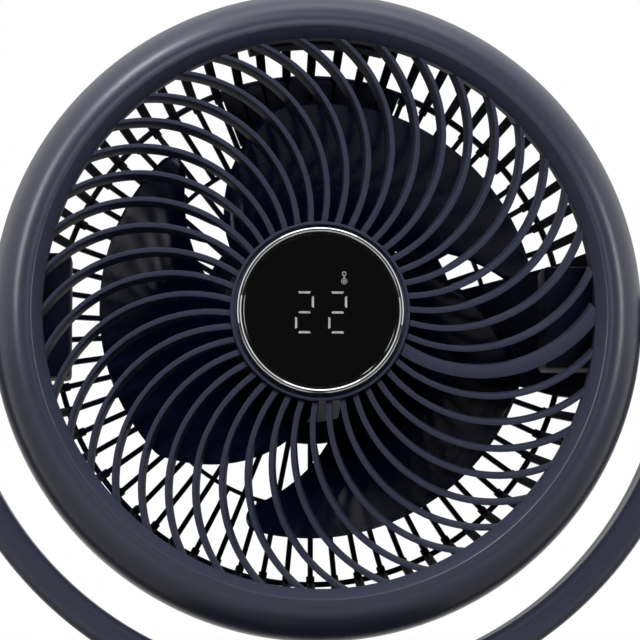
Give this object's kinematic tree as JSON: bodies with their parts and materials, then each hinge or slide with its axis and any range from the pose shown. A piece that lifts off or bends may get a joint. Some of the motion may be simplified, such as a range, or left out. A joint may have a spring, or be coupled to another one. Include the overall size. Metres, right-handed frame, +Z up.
{
  "type": "air circulator fan",
  "caption": "Round air circulator: spiral grille with a digital display in its middle, swept impeller, and a tilting head in a half-round yoke that swivels on a weighted base.",
  "frame": {"origin": "on the floor under the middle of the base", "axes": "+Z up, -Y the way the fan blows, so the viewer of the front stands at -Y, and +X to that viewer's right"},
  "size_m": [0.4052, 0.24, 0.424],
  "materials": {
    "navy_shell": "satin moulded",
    "navy_blade": "polished moulded",
    "black_plastic": "moulded",
    "bearing_plastic": "smooth, self-lubricating",
    "display_black": "polished",
    "digit_white": "diffuse",
    "circuit_board": "lacquered",
    "chrome_trim": "bright plated",
    "steel": "zinc plated",
    "cast_alloy": "die cast",
    "iron_weight": "raw casting",
    "foot_rubber": "matte"
  },
  "bodies": {
    "base": {"base_shell": "navy_shell", "base_plate": "black_plastic", "base_screws": "steel", "rubber_feet": "foot_rubber", "base_weight": "iron_weight", "control_board": "circuit_board", "touch_panel": "display_black", "power_inlet": "black_plastic", "swivel_bushing": "bearing_plastic", "swivel_motor": "black_plastic"},
    "yoke": {"neck_collar": "navy_shell", "swivel_spindle": "steel", "spindle_nut": "steel", "yoke_front_shell": "navy_shell", "yoke_rear_shell": "navy_shell", "yoke_screws": "steel", "left_pivot_pin": "steel", "right_pivot_pin": "steel", "left_pin_retainer": "bearing_plastic", "right_pin_retainer": "bearing_plastic", "left_pivot_cap": "navy_shell", "right_pivot_cap": "navy_shell", "friction_washers": "bearing_plastic"},
    "head": {"front_guard": "navy_shell", "guard_screws": "steel", "display_bezel": "chrome_trim", "display_lens": "display_black", "display_board": "circuit_board", "digit_module": "digit_white", "display_back_cover": "navy_shell", "rear_cage": "navy_shell", "motor_front_shield": "cast_alloy", "motor_rear_shield": "cast_alloy", "motor_screws": "steel", "front_bearing": "steel", "rear_bearing": "steel", "motor_stator": "steel", "motor_cover": "navy_shell", "left_pivot_bush": "bearing_plastic", "right_pivot_bush": "bearing_plastic", "left_pivot_pod": "navy_shell", "right_pivot_pod": "navy_shell", "tilt_motor": "black_plastic"},
    "impeller": {"impeller": "navy_blade", "spinner_nut": "navy_blade", "motor_shaft": "steel", "motor_rotor": "steel"}
  },
  "joints": [
    {"name": "yoke_swivel", "type": "hinge", "parent": "base", "child": "yoke", "pos_m": [0, 0, 0.033], "axis": [0, 0, 1], "range_deg": [-40, 40]},
    {"name": "head_tilt", "type": "hinge", "parent": "yoke", "child": "head", "pos_m": [0, 0, 0.258], "axis": [-1, 0, 0], "range_deg": [-15, 90]},
    {"name": "impeller_spin", "type": "hinge", "parent": "head", "child": "impeller", "pos_m": [0, 0, 0.258], "axis": [0, 1, 0], "continuous": true}
  ]
}
